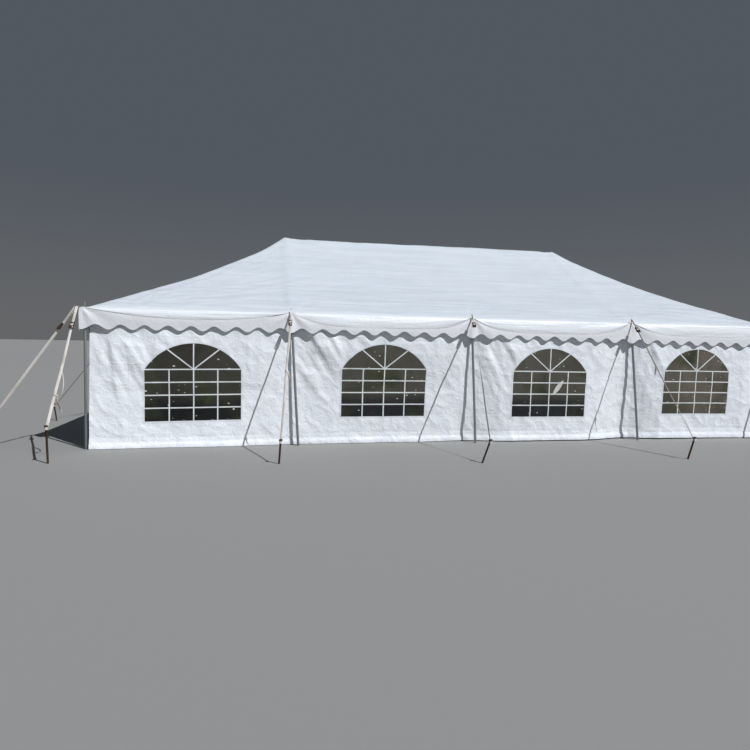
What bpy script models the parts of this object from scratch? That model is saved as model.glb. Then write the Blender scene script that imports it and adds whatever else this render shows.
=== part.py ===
"""A pole tent, 20 ft by 40 ft: a white fabric top on two centre poles and twelve side poles,
a scalloped valance, hanging side walls with arched windows, and straps run out to stakes.
The long front faces -Y, the ground is z = 0, and the origin is under the middle of the top."""

import math

import bmesh
import bpy
from mathutils import Matrix, Vector

# The tent's plan and heights
bay = 3.048
bays_long = 4
bays_wide = 2
eave_height = 2.134
peak_height = 3.85
roof_hollow = 0.16
canopy_thickness = 0.004
panels_per_bay = 5

# The eave between two poles, where the edge of the top rolls over and droops
eave_bulge = 0.04
eave_droop = 0.165
eave_pad_margin = 0.007
peak_pad_margin = 0.015

# The valance, with its waved lower edge
valance_tip_drop = 0.334
valance_wave = 0.078
valance_thickness = 0.003
waves_per_bay = 9
points_per_wave = 6

# The side walls and their windows
wall_inset = 0.05
wall_thickness = 0.003
wall_hem_height = 0.006
window_width = 1.465
window_sill = 0.43
window_side = 0.81
window_rise = 0.41
# The long walls' windows sit this far along +X from the middle of their bays
window_aside = 0.03
window_arc_points = 16

# The poles
side_pole_diameter = 0.046
# How far each pole's foot has drifted along a long wall, from the left corner to the right
side_pole_drifts = (0.0, 0.134, 0.128, 0.24, 0.0)
side_pin_diameter = 0.014
side_pin_height = 0.085
centre_pole_diameter = 0.076
centre_pin_diameter = 0.025
centre_pin_height = 0.03
pin_point = 0.012
pole_sides = 12
# Round pieces are turned by this share of a side, so that no corner lies on a hip
side_turn = 0.3

# The guys: strap, ratchet and stake
strap_width = 0.038
strap_thickness = 0.004
guy_ring_height = 0.055
guy_ring_diameter = 0.044
guy_ring_thickness = 0.008
ratchet_length = 0.13
ratchet_width = 0.058
ratchet_depth = 0.036
stake_diameter = 0.028
stake_head_diameter = 0.05
stake_head_length = 0.03
stake_lean = 0.05
strap_drop = 0.045

# Each stake of the front, from left to right: how far along the wall from its pole, how far
# out, its height, how far its head leans along the wall, and the ratchet's distance down the strap
front_stakes = (
    (-0.19, 0.99, 0.52, 0.00, 0.27),
    (-0.21, 1.33, 0.35, 0.02, 0.30),
    (-0.39, 1.59, 0.35, 0.10, 0.36),
    (-0.11, 1.66, 0.35, 0.06, 0.25),
    (0.25, 1.45, 0.40, 0.00, 0.40),
)
# Each stake of an end, from front to back, in the same order of values
end_stakes = (
    (0.00, 1.30, 0.42, 0.00, 0.30),
    (0.12, 1.45, 0.35, 0.00, 0.40),
    (0.00, 1.30, 0.38, 0.00, 0.30),
)

# The gap between pieces that touch
gap = 0.0003

half_length = bay * bays_long / 2
half_width = bay * bays_wide / 2
eave_pad = side_pole_diameter / 2 + eave_pad_margin
peak_pad = centre_pole_diameter / 2 + peak_pad_margin
side_pole_top = eave_height - canopy_thickness - gap
centre_pole_top = peak_height - canopy_thickness - gap


def clear_scene():
    for item in list(bpy.data.objects):
        bpy.data.objects.remove(item, do_unlink=True)


def make_material(name, colour, roughness, metallic=0.0, alpha=1.0):
    material = bpy.data.materials.new(name)
    material.use_nodes = True
    shader = material.node_tree.nodes["Principled BSDF"]
    shader.inputs["Base Color"].default_value = (*colour, 1.0)
    shader.inputs["Roughness"].default_value = roughness
    shader.inputs["Metallic"].default_value = metallic
    shader.inputs["Alpha"].default_value = alpha
    return material


def make_object(name, points, faces, material=None):
    mesh = bpy.data.meshes.new(name)
    mesh.from_pydata([tuple(point) for point in points], [], faces)
    shape = bmesh.new()
    shape.from_mesh(mesh)
    bmesh.ops.recalc_face_normals(shape, faces=shape.faces)
    shape.to_mesh(mesh)
    shape.free()
    if material:
        mesh.materials.append(material)
    piece = bpy.data.objects.new(name, mesh)
    bpy.context.scene.collection.objects.link(piece)
    return piece


def shade_round(piece, angle=40.0):
    piece.data.shade_smooth()
    piece.data.set_sharp_from_angle(angle=math.radians(angle))


def combine(piece, tools, operation):
    """Join tools to a piece, or cut them from it, and drop the tools."""
    for tool in tools:
        step = piece.modifiers.new("combine", "BOOLEAN")
        step.operation = operation
        step.solver = "EXACT"
        step.object = tool
        graph = bpy.context.evaluated_depsgraph_get()
        result = bpy.data.meshes.new_from_object(piece.evaluated_get(graph))
        piece.modifiers.remove(step)
        piece.data = result
        bpy.data.objects.remove(tool, do_unlink=True)
    return piece


def turned(name, profile, sides, material=None):
    """Turn a profile of (radius, height) pairs about the Z axis; a radius of 0 is a point."""
    points = []
    rings = []
    for radius, height in profile:
        count = sides if radius > 0 else 1
        rings.append(range(len(points), len(points) + count))
        for step in range(count):
            angle = 2 * math.pi * (step + side_turn) / sides
            points.append((radius * math.cos(angle), radius * math.sin(angle), height))
    faces = []
    for low, high in zip(rings, rings[1:]):
        for step in range(sides):
            after = (step + 1) % sides
            corners = [low[step % len(low)], low[after % len(low)]]
            corners += [high[after % len(high)], high[step % len(high)]]
            faces.append(list(dict.fromkeys(corners)))
    if len(rings[0]) > 1:
        faces.append(list(rings[0]))
    if len(rings[-1]) > 1:
        faces.append(list(rings[-1]))
    return make_object(name, points, faces, material)


def prism(name, outline, near, far, material=None):
    """A plate with an outline of (x, z) points, from y = near to y = far."""
    count = len(outline)
    points = [(x, near, z) for x, z in outline] + [(x, far, z) for x, z in outline]
    faces = [list(range(count)), list(range(2 * count - 1, count - 1, -1))]
    for step in range(count):
        after = (step + 1) % count
        faces.append([step, after, after + count, step + count])
    return make_object(name, points, faces, material)


def bar(name, start, end, width, depth, material=None):
    """A straight bar of rectangular section whose width lies level."""
    start = Vector(start)
    end = Vector(end)
    along = (end - start).normalized()
    across = along.cross(Vector((0, 0, 1))).normalized()
    out = across.cross(along)
    points = []
    for centre in (start, end):
        for side, lift in ((-1, -1), (1, -1), (1, 1), (-1, 1)):
            points.append(centre + across * side * width / 2 + out * lift * depth / 2)
    faces = [[0, 1, 2, 3], [7, 6, 5, 4]]
    for step in range(4):
        after = (step + 1) % 4
        faces.append([step, after, after + 4, step + 4])
    return make_object(name, points, faces, material)


def side_spots(half):
    """Places of the side poles along one side, evenly spaced about a bay apart."""
    count = max(round(2 * half / bay), 1)
    return [half * (2 * step / count - 1) for step in range(count + 1)]


def pole_spacing(half):
    spots = side_spots(half)
    return spots[1] - spots[0]


def droop_share(place, half):
    """How far the eave has drooped at a place along a side: 0 at a pole, 1 midway to the next."""
    spacing = pole_spacing(half)
    if abs(place) >= half - gap:
        return 0.0
    share = ((place + half) % spacing - eave_pad) / (spacing - 2 * eave_pad)
    share = min(max(share, 0.0), 1.0)
    return 4 * share * (1 - share)


def roof_height(x, y):
    """Height of the top's upper face inside the line of side poles."""
    inward = min(half_length - abs(x), half_width - abs(y))
    share = (inward - eave_pad) / (half_width - eave_pad - peak_pad)
    share = min(max(share, 0.0), 1.0)
    rise = peak_height - eave_height
    return eave_height + rise * share - 4 * roof_hollow * share * (1 - share)


def roof_lines(half):
    """Lines of the top's mesh along one direction, from its one outer edge to the other."""
    lines = set()
    for spot in side_spots(half):
        lines.update((spot - eave_pad, spot, spot + eave_pad))
    for start in side_spots(half)[:-1]:
        for step in range(1, panels_per_bay):
            lines.add(start + pole_spacing(half) * step / panels_per_bay)
    ridge_end = half - half_width
    for side in (-1, 1):
        lines.update((side * (half - wall_inset), side * (ridge_end + peak_pad), side * ridge_end))
    ordered = sorted(lines)
    kept = [ordered[0]]
    for line in ordered[1:]:
        if line - kept[-1] > gap:
            kept.append(line)
    return kept


def edge_point(place, half, other_half):
    """Where the top's outer edge is at a place along a side: how far out, and its height."""
    share = droop_share(place, half)
    return other_half + eave_pad + eave_bulge * share, eave_height - eave_droop * share


def edge_between(place, lines, half, other_half):
    """The same as edge_point, along the straight runs between the top's mesh lines."""
    place = min(max(place, lines[0]), lines[-1])
    for low, high in zip(lines, lines[1:]):
        if low <= place <= high:
            share = (place - low) / (high - low)
            start = edge_point(low, half, other_half)
            end = edge_point(high, half, other_half)
            return [a + (b - a) * share for a, b in zip(start, end)]
    return edge_point(place, half, other_half)


def make_canopy(material):
    """The fabric top, one sheet with a droop along the eave between the poles."""
    x_lines = roof_lines(half_length)
    y_lines = roof_lines(half_width)
    last_x = len(x_lines) - 1
    last_y = len(y_lines) - 1
    top = []
    for i, x in enumerate(x_lines):
        for j, y in enumerate(y_lines):
            height = roof_height(x, y)
            place_x = x
            place_y = y
            if i in (0, last_x):
                out, height = edge_point(y, half_width, half_length)
                place_x = math.copysign(out, x)
            if j in (0, last_y):
                out, edge_height = edge_point(x, half_length, half_width)
                place_y = math.copysign(out, y)
                height = min(height, edge_height)
            top.append((place_x, place_y, height))
    count = len(top)
    points = top + [(x, y, z - canopy_thickness) for x, y, z in top]
    rows = last_y + 1
    faces = []
    for i in range(last_x):
        for j in range(last_y):
            corner = i * rows + j
            a, b, c, d = corner, corner + rows, corner + rows + 1, corner + 1
            if (x_lines[i] + x_lines[i + 1]) * (y_lines[j] + y_lines[j + 1]) > 0:
                halves = ([a, b, c], [a, c, d])
            else:
                halves = ([a, b, d], [b, c, d])
            for half_face in halves:
                faces.append(half_face)
                faces.append([point + count for point in reversed(half_face)])
    for i in range(last_x):
        for j in (0, last_y):
            a = i * rows + j
            faces.append([a, a + rows, a + rows + count, a + count])
    for j in range(last_y):
        for i in (0, last_x):
            a = i * rows + j
            faces.append([a, a + 1, a + 1 + count, a + count])
    canopy = make_object("roof_canopy", points, faces, material)
    tools = []
    for x, y, column, row in pole_stations():
        tools.append(pin_hole(x, y, eave_height, side_pin_diameter))
    for x in centre_spots():
        tools.append(pin_hole(x, 0.0, peak_height, centre_pin_diameter))
    combine(canopy, tools, "DIFFERENCE")
    shade_round(canopy)
    return canopy


def pin_hole(x, y, height, pin_diameter):
    radius = pin_diameter / 2 + gap
    reach = 2 * canopy_thickness
    hole = turned("pin_hole", [(radius, -reach), (radius, reach)], pole_sides)
    hole.location = (x, y, height)
    bpy.context.view_layer.update()
    return hole


def pole_stations():
    """Every side pole once round the tent from the front left corner: x, y, column and row."""
    columns = list(enumerate(side_spots(half_length)))
    rows = list(enumerate(side_spots(half_width)))
    stations = [(x, rows[0][1], column, 0) for column, x in columns]
    stations += [(half_length, y, columns[-1][0], row) for row, y in rows[1:]]
    stations += [(x, half_width, column, rows[-1][0]) for column, x in reversed(columns[:-1])]
    stations += [(-half_length, y, 0, row) for row, y in reversed(rows[1:-1])]
    return stations


def centre_spots():
    return (half_width - half_length, half_length - half_width)


def make_valance(name, half, other_half, turn, shorten, material):
    """One side's valance, hung from the top's edge, its lower edge cut in waves."""
    lines = roof_lines(half)
    end = half + eave_pad - shorten
    places = {-end, end}
    places.update(line for line in lines if abs(line) < end - gap)
    wave_length = pole_spacing(half) / waves_per_bay
    step = wave_length / points_per_wave
    count = round(2 * half / step)
    for index in range(count + 1):
        place = index * step - half
        if abs(place) < end - gap:
            places.add(place)
    kept = []
    for place in sorted(places):
        if not kept or place - kept[-1] > 5 * gap:
            kept.append(place)
    kept[-1] = end
    points = []
    for place in kept:
        out, height = edge_between(place, lines, half, other_half)
        wave = math.cos(2 * math.pi * (place + half) / wave_length)
        if abs(place) > half:
            wave = 1.0
        low = eave_height - valance_tip_drop + valance_wave * (1 - wave) / 2
        high = height - canopy_thickness - gap
        inner = out - valance_thickness
        points += [(place, -out, low), (place, -out, high), (place, -inner, high), (place, -inner, low)]
    faces = [[0, 1, 2, 3], [len(points) - 1, len(points) - 2, len(points) - 3, len(points) - 4]]
    for index in range(len(kept) - 1):
        a = 4 * index
        for side in range(4):
            after = (side + 1) % 4
            faces.append([a + side, a + after, a + after + 4, a + side + 4])
    valance = make_object(name, points, faces, material)
    valance.data.transform(Matrix.Rotation(turn, 4, "Z"))
    shade_round(valance)
    return valance


def window_outline(centre, shrink):
    """A window's outline: straight sides under a flat arch."""
    half = window_width / 2
    radius = (half * half + window_rise * window_rise) / (2 * window_rise)
    spring = window_sill + window_side
    middle = spring + window_rise - radius
    reach = half - shrink
    inner_radius = radius - shrink
    start = math.acos(min(reach / inner_radius, 1.0))
    outline = [(centre - reach, window_sill + shrink), (centre + reach, window_sill + shrink)]
    for index in range(window_arc_points + 1):
        angle = start + (math.pi - 2 * start) * index / window_arc_points
        outline.append((centre + inner_radius * math.cos(angle), middle + inner_radius * math.sin(angle)))
    return outline


def make_wall(name, start, end, half, other_half, turn, aside, material):
    """A wall panel hung under the top, with its windows cut through."""
    face = -(other_half - wall_inset)
    back = face + wall_thickness
    height = roof_height(0.0, half_width - wall_inset) - canopy_thickness - gap
    outline = [(start, wall_hem_height), (end, wall_hem_height), (end, height), (start, height)]
    wall = prism(name, outline, face, back, material)
    tools = []
    for centre in window_centres(start, end, half, aside):
        outline = window_outline(centre, 0.0)
        tools.append(prism("window_hole", outline, face - wall_thickness, back + wall_thickness))
    combine(wall, tools, "DIFFERENCE")
    wall.data.transform(Matrix.Rotation(turn, 4, "Z"))
    return wall


def window_centres(start, end, half, aside):
    """The windows' middles, one to a bay, that lie within a stretch of one side."""
    centres = [spot + pole_spacing(half) / 2 + aside for spot in side_spots(half)[:-1]]
    return [centre for centre in centres if start < centre < end]


def make_window(name, centre, other_half, turn, material):
    """One clear pane in its opening."""
    face = -(other_half - wall_inset)
    pane = prism(name, window_outline(centre, gap), face, face + wall_thickness, material)
    pane.data.transform(Matrix.Rotation(turn, 4, "Z"))
    return pane


def make_side_pole(name, x, y, drift, material):
    """A steel tube with a pin that goes up through the top; its foot has drifted along the wall."""
    radius = side_pole_diameter / 2
    pin = side_pin_diameter / 2
    tip = eave_height + side_pin_height
    profile = [(radius, 0.0), (radius, side_pole_top), (pin, side_pole_top)]
    profile += [(pin, tip - pin_point), (0.0, tip)]
    pole = turned(name, profile, pole_sides, material)
    for point in pole.data.vertices:
        down = max(1 - point.co.z / side_pole_top, 0.0)
        point.co.x += drift * down
    pole.location = (x, y, 0.0)
    shade_round(pole)
    return pole


def make_centre_pole(name, x, material):
    radius = centre_pole_diameter / 2
    pin = centre_pin_diameter / 2
    tip = peak_height + centre_pin_height
    profile = [(radius, 0.0), (radius, centre_pole_top), (pin, centre_pole_top)]
    profile += [(pin, tip - pin_point), (0.0, tip)]
    pole = turned(name, profile, pole_sides, material)
    pole.location = (x, 0.0, 0.0)
    shade_round(pole)
    return pole


def guy_pieces(x, y, out, stake):
    """The loose solids of one guy: its strap, its ratchet, and its stake with a head."""
    aside, reach, stake_height, lean, ratchet_at = stake
    along = Vector((abs(out.y), abs(out.x), 0.0))
    foot = Vector((x, y, 0.0)) + out * reach + along * aside
    head = foot + out * stake_lean + along * lean + Vector((0, 0, stake_height))
    ring_level = eave_height + guy_ring_height
    top = Vector((x, y, ring_level)) + out * (guy_ring_diameter / 2 - strap_thickness)
    to_stake = (head - top).normalized()
    strap = bar("strap", top, head - Vector((0, 0, strap_drop)), strap_width, strap_thickness)
    start = top + to_stake * ratchet_at
    ratchet = bar("ratchet", start, start + to_stake * ratchet_length, ratchet_width, ratchet_depth)
    stake_piece = turned("stake", [
        (stake_diameter / 2, 0.0),
        (stake_diameter / 2, stake_height - stake_head_length),
        (stake_head_diameter / 2, stake_height - stake_head_length),
        (stake_head_diameter / 2, stake_height),
    ], pole_sides)
    for point in stake_piece.data.vertices:
        share = point.co.z / stake_height
        point.co += (head - foot) * share - Vector((0, 0, point.co.z))
        point.co += foot
    return [strap, ratchet, stake_piece]


def make_guy(name, x, y, runs, material):
    """The guys of one pole as one solid: a ring over its pin, and a strap to each stake."""
    inner = side_pin_diameter / 2 + gap
    outer = guy_ring_diameter / 2
    low = -guy_ring_thickness / 2
    high = guy_ring_thickness / 2
    ring = turned(name, [(outer, low), (outer, high)], pole_sides, material)
    ring.data.transform(Matrix.Translation((x, y, eave_height + guy_ring_height)))
    tools = []
    for out, stake in runs:
        tools += guy_pieces(x, y, out, stake)
    combine(ring, tools, "UNION")
    reach = strap_width + guy_ring_thickness
    hole = turned("ring_hole", [(inner, -reach), (inner, reach)], pole_sides)
    hole.location = (x, y, eave_height + guy_ring_height)
    bpy.context.view_layer.update()
    combine(ring, [hole], "DIFFERENCE")
    shade_round(ring)
    return ring


clear_scene()

top_fabric = make_material("top_fabric", (0.86, 0.88, 0.92), 0.55)
valance_fabric = make_material("valance_fabric", (0.86, 0.86, 0.86), 0.55)
wall_fabric = make_material("wall_fabric", (0.88, 0.89, 0.92), 0.5)
clear_vinyl = make_material("clear_vinyl", (0.16, 0.17, 0.15), 0.12, alpha=0.45)
galvanised_steel = make_material("galvanised_steel", (0.42, 0.42, 0.41), 0.45, metallic=0.9)
guy_webbing = make_material("guy_webbing", (0.72, 0.69, 0.6), 0.75)

quarter = math.pi / 2
valance_skip = valance_thickness + gap
make_canopy(top_fabric)
make_valance("valance_front", half_length, half_width, 0.0, 0.0, valance_fabric)
make_valance("valance_back", half_length, half_width, 2 * quarter, 0.0, valance_fabric)
make_valance("valance_left", half_width, half_length, -quarter, valance_skip, valance_fabric)
make_valance("valance_right", half_width, half_length, quarter, valance_skip, valance_fabric)

# Two panels close each long side and meet at a pole; one panel closes each end
long_end = half_length - wall_inset
short_end = half_width - wall_inset - wall_thickness - gap
long_spots = side_spots(half_length)
short_spots = side_spots(half_width)
meeting = long_spots[len(long_spots) // 2]
long_sides = (
    ("front_wall", 0.0, window_aside, ("left", "right")),
    ("back_wall", 2 * quarter, -window_aside, ("right", "left")),
)
for word, turn, aside, hands in long_sides:
    stretches = ((-long_end, meeting - gap / 2), (meeting + gap / 2, long_end))
    for hand, (start, end) in zip(hands, stretches):
        make_wall(f"{word}_{hand}", start, end, half_length, half_width, turn, aside, wall_fabric)
for hand, turn in (("left", -quarter), ("right", quarter)):
    make_wall(f"{hand}_wall", -short_end, short_end, half_width, half_length, turn, 0.0, wall_fabric)

for number, centre in enumerate(window_centres(-long_end, long_end, half_length, window_aside), 1):
    make_window(f"window_front_{number}", centre, half_width, 0.0, clear_vinyl)
    make_window(f"window_back_{number}", -centre, half_width, 2 * quarter, clear_vinyl)
for number, centre in enumerate(window_centres(-short_end, short_end, half_width, 0.0), 1):
    make_window(f"window_left_{number}", -centre, half_length, -quarter, clear_vinyl)
    make_window(f"window_right_{number}", centre, half_length, quarter, clear_vinyl)

for x, word in zip(centre_spots(), ("left", "right")):
    make_centre_pole(f"centre_pole_{word}", x, galvanised_steel)

front = Vector((0, -1, 0))
back = Vector((0, 1, 0))
left = Vector((-1, 0, 0))
right = Vector((1, 0, 0))
for number, (x, y, column, row) in enumerate(pole_stations(), 1):
    on_long_side = row in (0, len(short_spots) - 1)
    on_end = column in (0, len(long_spots) - 1)
    drift = 0.0 if on_end else side_pole_drifts[column % len(side_pole_drifts)]
    make_side_pole(f"side_pole_{number:02d}", x, y, drift, galvanised_steel)
    runs = []
    if on_long_side:
        runs.append((front if row == 0 else back, front_stakes[column % len(front_stakes)]))
    if on_end:
        runs.append((left if column == 0 else right, end_stakes[row % len(end_stakes)]))
    make_guy(f"guy_{number:02d}", x, y, runs, guy_webbing)
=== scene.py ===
"""The pole tent with its real surfaces: coated cloth with folds and creases, clear windows with
their bars, steel tubes, webbing guys and driven stakes, in the same frame as the solids."""

import math
from functools import partial

import bpy
import numpy as np
from mathutils import Matrix, Vector, kdtree
from mathutils.geometry import delaunay_2d_cdt


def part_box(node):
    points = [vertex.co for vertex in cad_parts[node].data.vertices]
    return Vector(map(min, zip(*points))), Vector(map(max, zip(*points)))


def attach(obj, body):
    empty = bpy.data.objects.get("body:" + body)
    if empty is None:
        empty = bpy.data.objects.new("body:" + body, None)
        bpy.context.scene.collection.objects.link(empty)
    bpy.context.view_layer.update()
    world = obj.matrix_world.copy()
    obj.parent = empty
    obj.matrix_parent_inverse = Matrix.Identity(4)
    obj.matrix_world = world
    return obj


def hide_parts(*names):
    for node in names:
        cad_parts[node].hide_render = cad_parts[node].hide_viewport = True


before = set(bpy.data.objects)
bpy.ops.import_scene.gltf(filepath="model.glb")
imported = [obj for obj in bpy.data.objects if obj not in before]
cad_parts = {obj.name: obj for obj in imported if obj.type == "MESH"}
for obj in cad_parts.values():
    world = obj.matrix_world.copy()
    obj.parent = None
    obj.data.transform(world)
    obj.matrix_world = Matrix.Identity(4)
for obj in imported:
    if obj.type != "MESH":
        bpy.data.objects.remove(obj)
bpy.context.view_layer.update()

# The camera stands in for a phone held at eye height, 9 m in front of the tent near its first
# inner pole, and turned a little to the right to look along the front.
camera_place = (-3.49, -12.14, 1.69)
camera_turn = math.radians(11.35)
camera_tilt = math.radians(-3.28)
camera_roll = math.radians(1.13)

camera_data = bpy.data.cameras.new("camera")
camera_data.sensor_width = 36.0
camera_data.lens = 26.93
camera = bpy.data.objects.new("camera", camera_data)
bpy.context.scene.collection.objects.link(camera)
camera.matrix_world = (
    Matrix.Translation(camera_place)
    @ Matrix.Rotation(-camera_turn, 4, "Z")
    @ Matrix.Rotation(math.pi / 2 + camera_tilt, 4, "X")
    @ Matrix.Rotation(camera_roll, 4, "Z")
)
bpy.context.scene.camera = camera
bpy.context.scene.view_settings.view_transform = "Standard"

# The studio is a pale matt floor under an even sky, with one key light high on the right.
# The key is a little softer than the sun, so the valance and straps still throw their shadows.
floor_radius = 300.0
floor_level = -0.001
key_aside = math.radians(39.0)
key_height = math.radians(49.0)
key_angle = math.radians(0.6)
key_strength = 3.9
fill_strength = 0.22


def linear(code):
    """A hex colour as the linear colour that the renderer mixes."""
    shares = [int(code[start:start + 2], 16) / 255 for start in (1, 3, 5)]
    curve = [s / 12.92 if s <= 0.04045 else ((s + 0.055) / 1.055) ** 2.4 for s in shares]
    return (*curve, 1.0)


def add_node(tree, kind, *inputs, **named):
    """Add a shader node. Small letters name its settings; inputs are given in order or by their name."""
    node = tree.nodes.new("ShaderNode" + kind)
    for name in [name for name in named if name.islower()]:
        setattr(node, name, named.pop(name))
    feed(node, *inputs, **named)
    return node


def feed(node, *inputs, **named):
    """Give inputs a value, a colour code, an output to link to, or a node whose main output is meant."""
    for socket, value in [*enumerate(inputs), *named.items()]:
        socket = socket.replace("_", " ") if isinstance(socket, str) else socket
        if isinstance(value, bpy.types.Node):
            # The name finds the output in use, where a node has one of that name for each kind of value
            value = value.outputs[value.outputs[0].name]
        if isinstance(value, bpy.types.NodeSocket):
            node.id_data.links.new(value, node.inputs[socket])
        else:
            node.inputs[socket].default_value = linear(value) if isinstance(value, str) else value


def new_material(name):
    """A material, a short form of add_node that adds to it, and its shader."""
    material = bpy.data.materials.new(name)
    material.use_nodes = True
    tree = material.node_tree
    return material, partial(add_node, tree), tree.nodes["Principled BSDF"]


world = bpy.data.worlds.new("studio")
bpy.context.scene.world = world
world.use_nodes = True
sky = world.node_tree
add = partial(add_node, sky)
view = add("TexCoord")
height = add("SeparateXYZ", view.outputs["Generated"])
rise = add("MapRange", Value=height.outputs["Z"], From_Max=0.3, interpolation_type="SMOOTHSTEP")
tone = add("Mix", Factor=rise, A="#c9ccd0", B="#a6b2c2", data_type="RGBA")
feed(sky.nodes["Background"], Color=tone, Strength=fill_strength)

key_data = bpy.data.lights.new("key", "SUN")
key_data.energy = key_strength
key_data.angle = key_angle
key_data.color = linear("#fbfcff")[:3]
key = bpy.data.objects.new("key", key_data)
bpy.context.scene.collection.objects.link(key)
to_key = Vector((
    math.sin(key_aside) * math.cos(key_height),
    -math.cos(key_aside) * math.cos(key_height),
    math.sin(key_height),
))
key.matrix_world = to_key.to_track_quat("Z", "Y").to_matrix().to_4x4()


def circle(sides):
    """The corners of a regular polygon round the unit circle, as cosines and sines."""
    turns = [2 * math.pi * step / sides for step in range(sides)]
    return [(math.cos(turn), math.sin(turn)) for turn in turns]


floor_mesh = bpy.data.meshes.new("floor")
floor_rim = [(floor_radius * x, floor_radius * y, floor_level) for x, y in circle(64)]
floor_mesh.from_pydata(floor_rim, [], [list(range(len(floor_rim)))])
floor = bpy.data.objects.new("floor", floor_mesh)
bpy.context.scene.collection.objects.link(floor)
matt_floor, add, shader = new_material("matt_pale_floor")
grain = add("TexNoise", Scale=3.0, Detail=6.0)
patch = add("Mix", Factor=grain, A="#8b8b89", B="#949492", data_type="RGBA")
feed(shader, Base_Color=patch, Roughness=0.9)
floor_mesh.materials.append(matt_floor)

# The two centre poles are galvanised steel tubes that carry the peaks. A tube has a plug at
# its foot, a crimped joint half way up and a pin at its head that goes through the top.
pole_foot_low, pole_foot_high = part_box("side_pole_01")
corner = (pole_foot_low + pole_foot_high) / 2
half_length = -corner.x
half_width = -corner.y
bay = half_length / 2
ridge_end = half_length - half_width
side_pin_height = 0.085
eave_height = pole_foot_high.z - side_pin_height
centre_pin_height = 0.03
peak_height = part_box("centre_pole_left")[1].z - centre_pin_height
centre_pole_radius = 0.038
centre_pin_radius = 0.0125
# A tube ends this far under the cloth that its pin goes through
head_gap = 0.0043
pole_sides = 32


def make_piece(name, points, faces, material, slot):
    """A piece of the tent from its points and faces, riding on the one body."""
    mesh = bpy.data.meshes.new(name)
    mesh.from_pydata(points, [], faces)
    mesh.materials.append(material)
    piece = bpy.data.objects.new(name, mesh)
    bpy.context.scene.collection.objects.link(piece)
    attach(piece, "root")
    return piece


def shade_round(piece, angle=35.0):
    """Smooth shading, but for the edges that turn by more than an angle."""
    piece.data.shade_smooth()
    piece.data.set_sharp_from_angle(angle=math.radians(angle))


def lathe(profile, sides):
    """Points and faces of a closed turned form, from (radius, height) pairs with both ends at 0 radius."""
    rings = []
    for radius, level in profile:
        rings.append([(radius * x, radius * y, level) for x, y in circle(sides if radius else 1)])
    starts = np.cumsum([0] + [len(ring) for ring in rings])
    faces = []
    for row in range(len(rings) - 1):
        low, high = len(rings[row]), len(rings[row + 1])
        for step in range(sides):
            after = (step + 1) % sides
            face = [starts[row] + step % low, starts[row] + after % low]
            face += [starts[row + 1] + after % high, starts[row + 1] + step % high]
            faces.append([int(index) for index in dict.fromkeys(face)])
    return [Vector(point) for ring in rings for point in ring], faces


# Galvanised steel: a matt zinc skin, with faint spangles a centimetre or two across, and
# long streaks of duller grey where it has weathered. It mirrors only a soft blur.
galvanised, add, shader = new_material("galvanised_steel_tube")
where = add("TexCoord")
spangle = add("TexVoronoi", Vector=where.outputs["Object"], Scale=70.0)
long_way = add("Mapping", Vector=where.outputs["Object"], Scale=(26.0, 26.0, 1.6))
streak = add("TexNoise", Vector=long_way, Scale=1.0, Detail=5.0)
faint = add("Math", spangle, 0.35, operation="MULTIPLY")
both = add("Math", faint, streak, operation="ADD")
zinc = add("Mix", Factor=both, A="#84858a", B="#a6a8ab", data_type="RGBA")
matt = add("MapRange", Value=streak, To_Min=0.62, To_Max=0.42)
dents = add("Bump", Height=streak, Strength=0.15, Distance=0.001)
feed(shader, Base_Color=zinc, Roughness=matt, Normal=dents, Metallic=0.85)

# Rings of the tube, as shares of its radius and heights: the plug in its foot, and the crimp at the joint
head = peak_height - head_gap
joint = head * 0.52
plug = ((0.0, 0.0), (0.86, 0.0), (0.9, 0.004), (0.9, 0.012), (0.985, 0.0125), (1.0, 0.015))
crimp = ((1.0, -0.09), (0.985, -0.088), (0.93, -0.08), (0.93, -0.002), (0.985, 0.0), (1.0, 0.003))
profile = [(centre_pole_radius * share, level) for share, level in plug]
profile += [(centre_pole_radius * share, joint + level) for share, level in crimp]
profile += [(centre_pole_radius, head - 0.003), (centre_pole_radius * 0.97, head)]
profile += [(centre_pin_radius, head), (centre_pin_radius, peak_height + 0.018)]
profile += [(centre_pin_radius * 0.5, peak_height + 0.028), (0.0, peak_height + centre_pin_height)]
points, faces = lathe(profile, pole_sides)
for word, x in (("left", -ridge_end), ("right", ridge_end)):
    moved = [point + Vector((x, 0.0, 0.0)) for point in points]
    pole = make_piece(f"centre_pole_tube_{word}", moved, faces, galvanised, "galvanised_steel")
    shade_round(pole)
    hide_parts(f"centre_pole_{word}")

# The twelve side poles are thinner tubes of the same steel under the eave, each with a pin at
# its head through a hole in the top. The feet have been kicked a little along the wall. A tube
# is 41 mm thick, as the photo shows it, inside its solid of 46 mm.
side_pole_radius = 0.0205
side_pin_radius = 0.007
head = eave_height - head_gap
tip = eave_height + side_pin_height
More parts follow.
